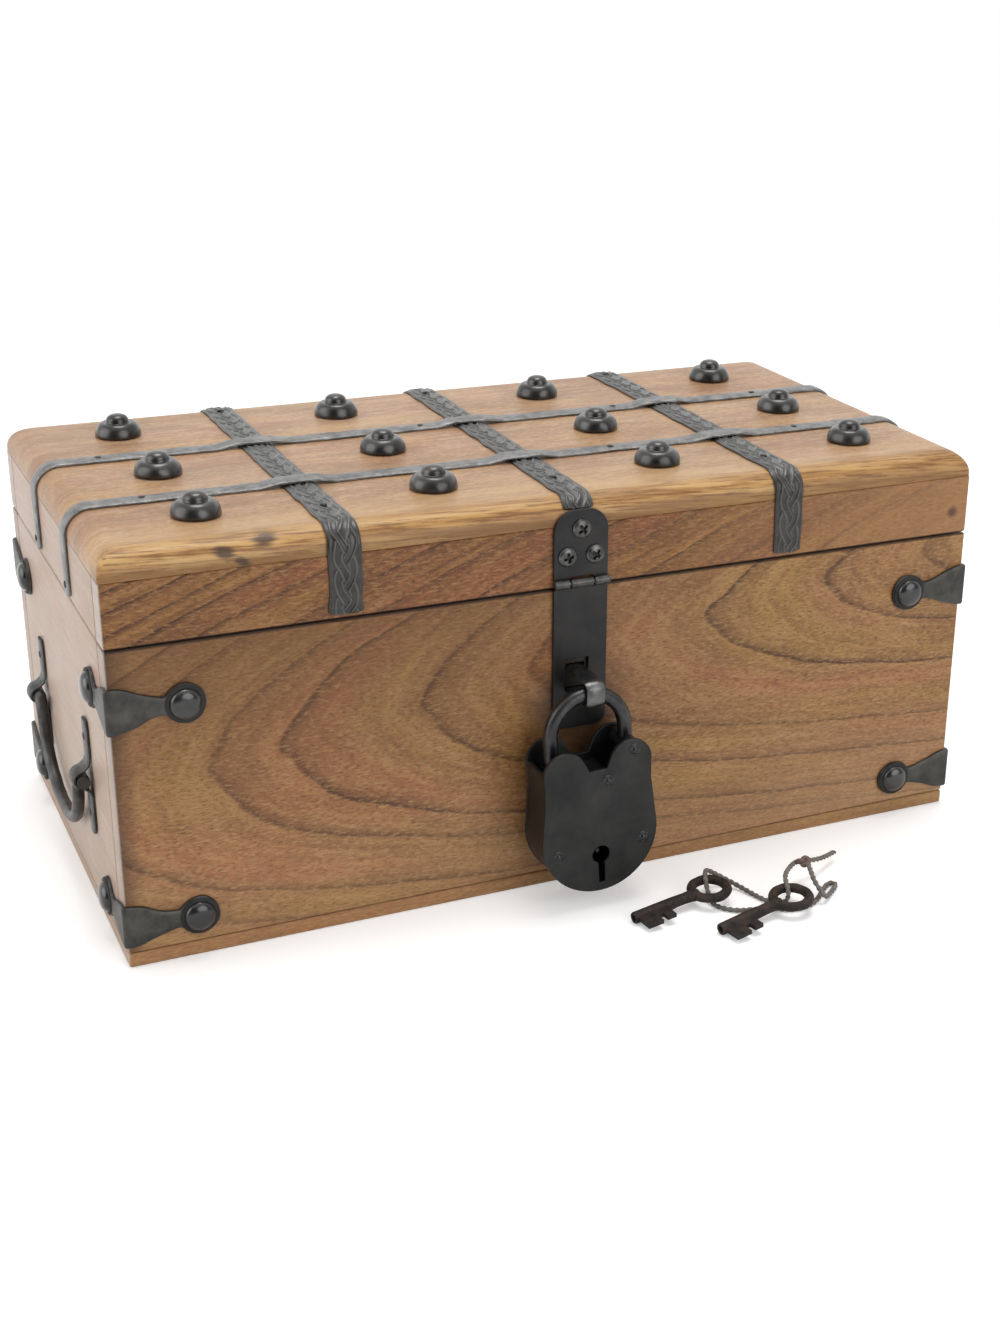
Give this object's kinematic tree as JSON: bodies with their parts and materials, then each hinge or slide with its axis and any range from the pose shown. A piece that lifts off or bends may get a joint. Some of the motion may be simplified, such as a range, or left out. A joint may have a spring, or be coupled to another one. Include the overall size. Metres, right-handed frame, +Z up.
{
  "type": "treasure chest",
  "caption": "Rectangular wooden treasure chest with iron straps, domed studs, corner brackets, bail handles, hinged lid, hasp and staple, antique padlock and barrel keys on a string.",
  "frame": {"origin": "middle of the chest's underside, on the floor", "axes": "+X along the chest to its right as seen from the hasp side, +Y from the front to the back, +Z up"},
  "size_m": [0.3764, 0.2645, 0.17],
  "materials": {
    "front_wood": "oiled, mid brown with bold grain",
    "top_wood": "pale tan, lightly waxed",
    "end_wood": "pale pinkish tan, satin",
    "strap_iron": "hammered matte dark grey",
    "bracket_iron": "satin black grey with polished domes",
    "stud_iron": "glossy blackened domes",
    "handle_iron": "satin black",
    "hasp_iron": "satin grey-black, worn edges",
    "screw_steel": "worn bright steel",
    "staple_iron": "worn grey band",
    "padlock_iron": "satin grey-black, rubbed",
    "hinge_iron": "satin black",
    "key_iron": "dark brown-black rust",
    "string_fibre": "rough grey-brown twine"
  },
  "bodies": {
    "box": {"front_board": "front_wood", "back_board": "front_wood", "left_end_board": "end_wood", "right_end_board": "end_wood", "bottom_board": "front_wood", "bracket_front_left_lower": "bracket_iron", "bracket_front_left_upper": "bracket_iron", "bracket_front_right_lower": "bracket_iron", "bracket_front_right_upper": "bracket_iron", "bracket_back_left_lower": "bracket_iron", "bracket_back_left_upper": "bracket_iron", "bracket_back_right_lower": "bracket_iron", "bracket_back_right_upper": "bracket_iron", "handle_left_eye_front": "handle_iron", "handle_left_eye_back": "handle_iron", "handle_right_eye_front": "handle_iron", "handle_right_eye_back": "handle_iron", "staple": "staple_iron", "hinge_left_box_leaf": "hinge_iron", "hinge_right_box_leaf": "hinge_iron", "key_1": "key_iron", "key_2": "key_iron", "key_string": "string_fibre"},
    "lid": {"lid_top_board": "top_wood", "lid_front_rail": "front_wood", "lid_back_rail": "front_wood", "lid_left_rail": "end_wood", "lid_right_rail": "end_wood", "cross_strap_left": "strap_iron", "cross_strap_middle": "strap_iron", "cross_strap_right": "strap_iron", "long_strap_front": "strap_iron", "long_strap_rear": "strap_iron", "lid_stud_front_1": "stud_iron", "lid_stud_front_2": "stud_iron", "lid_stud_front_3": "stud_iron", "lid_stud_front_4": "stud_iron", "lid_stud_middle_1": "stud_iron", "lid_stud_middle_2": "stud_iron", "lid_stud_middle_3": "stud_iron", "lid_stud_middle_4": "stud_iron", "lid_stud_back_1": "stud_iron", "lid_stud_back_2": "stud_iron", "lid_stud_back_3": "stud_iron", "lid_stud_back_4": "stud_iron", "hasp_leaf": "hasp_iron", "hasp_pin": "screw_steel", "hasp_screw_1": "screw_steel", "hasp_screw_2": "screw_steel", "hasp_screw_3": "screw_steel", "hinge_left_lid_leaf": "hinge_iron", "hinge_right_lid_leaf": "hinge_iron"},
    "hasp_flap": {"hasp_flap": "hasp_iron"},
    "padlock_shackle": {"padlock_shackle": "padlock_iron"},
    "padlock_case": {"padlock_front_plate": "padlock_iron", "padlock_back_plate": "padlock_iron", "padlock_rim": "padlock_iron"},
    "padlock_bolt": {"padlock_bolt": "padlock_iron"},
    "handle_left": {"handle_left_bail": "handle_iron"},
    "handle_right": {"handle_right_bail": "handle_iron"}
  },
  "joints": [
    {"name": "lid_hinge", "type": "hinge", "parent": "box", "child": "lid", "pos_m": [0, 0.0952, 0.1263], "axis": [-1, 0, 0], "range_deg": [0, 105]},
    {"name": "hasp_flap_hinge", "type": "hinge", "parent": "lid", "child": "hasp_flap", "pos_m": [0.0014, -0.0942, 0.1285], "axis": [-1, 0, 0], "range_deg": [0, 165]},
    {"name": "padlock_swing", "type": "hinge", "parent": "box", "child": "padlock_shackle", "pos_m": [0, -0.1095, 0.0884], "axis": [-1, 0, 0], "range_deg": [0, 85]},
    {"name": "shackle_open", "type": "hinge", "parent": "padlock_shackle", "child": "padlock_case", "pos_m": [0.01607, -0.1095, 0.06603], "axis": [0, -1, 0], "range_deg": [0, 75]},
    {"name": "bolt_slide", "type": "slide", "parent": "padlock_case", "child": "padlock_bolt", "axis": [0.9986, 0, 0.0523], "range_m": [0, 0.003]},
    {"name": "handle_left_swing", "type": "hinge", "parent": "box", "child": "handle_left", "pos_m": [-0.1839, 0, 0.059], "axis": [0, 1, 0], "range_deg": [0, 170]},
    {"name": "handle_right_swing", "type": "hinge", "parent": "box", "child": "handle_right", "pos_m": [0.1839, 0, 0.059], "axis": [0, -1, 0], "range_deg": [0, 170]}
  ]
}
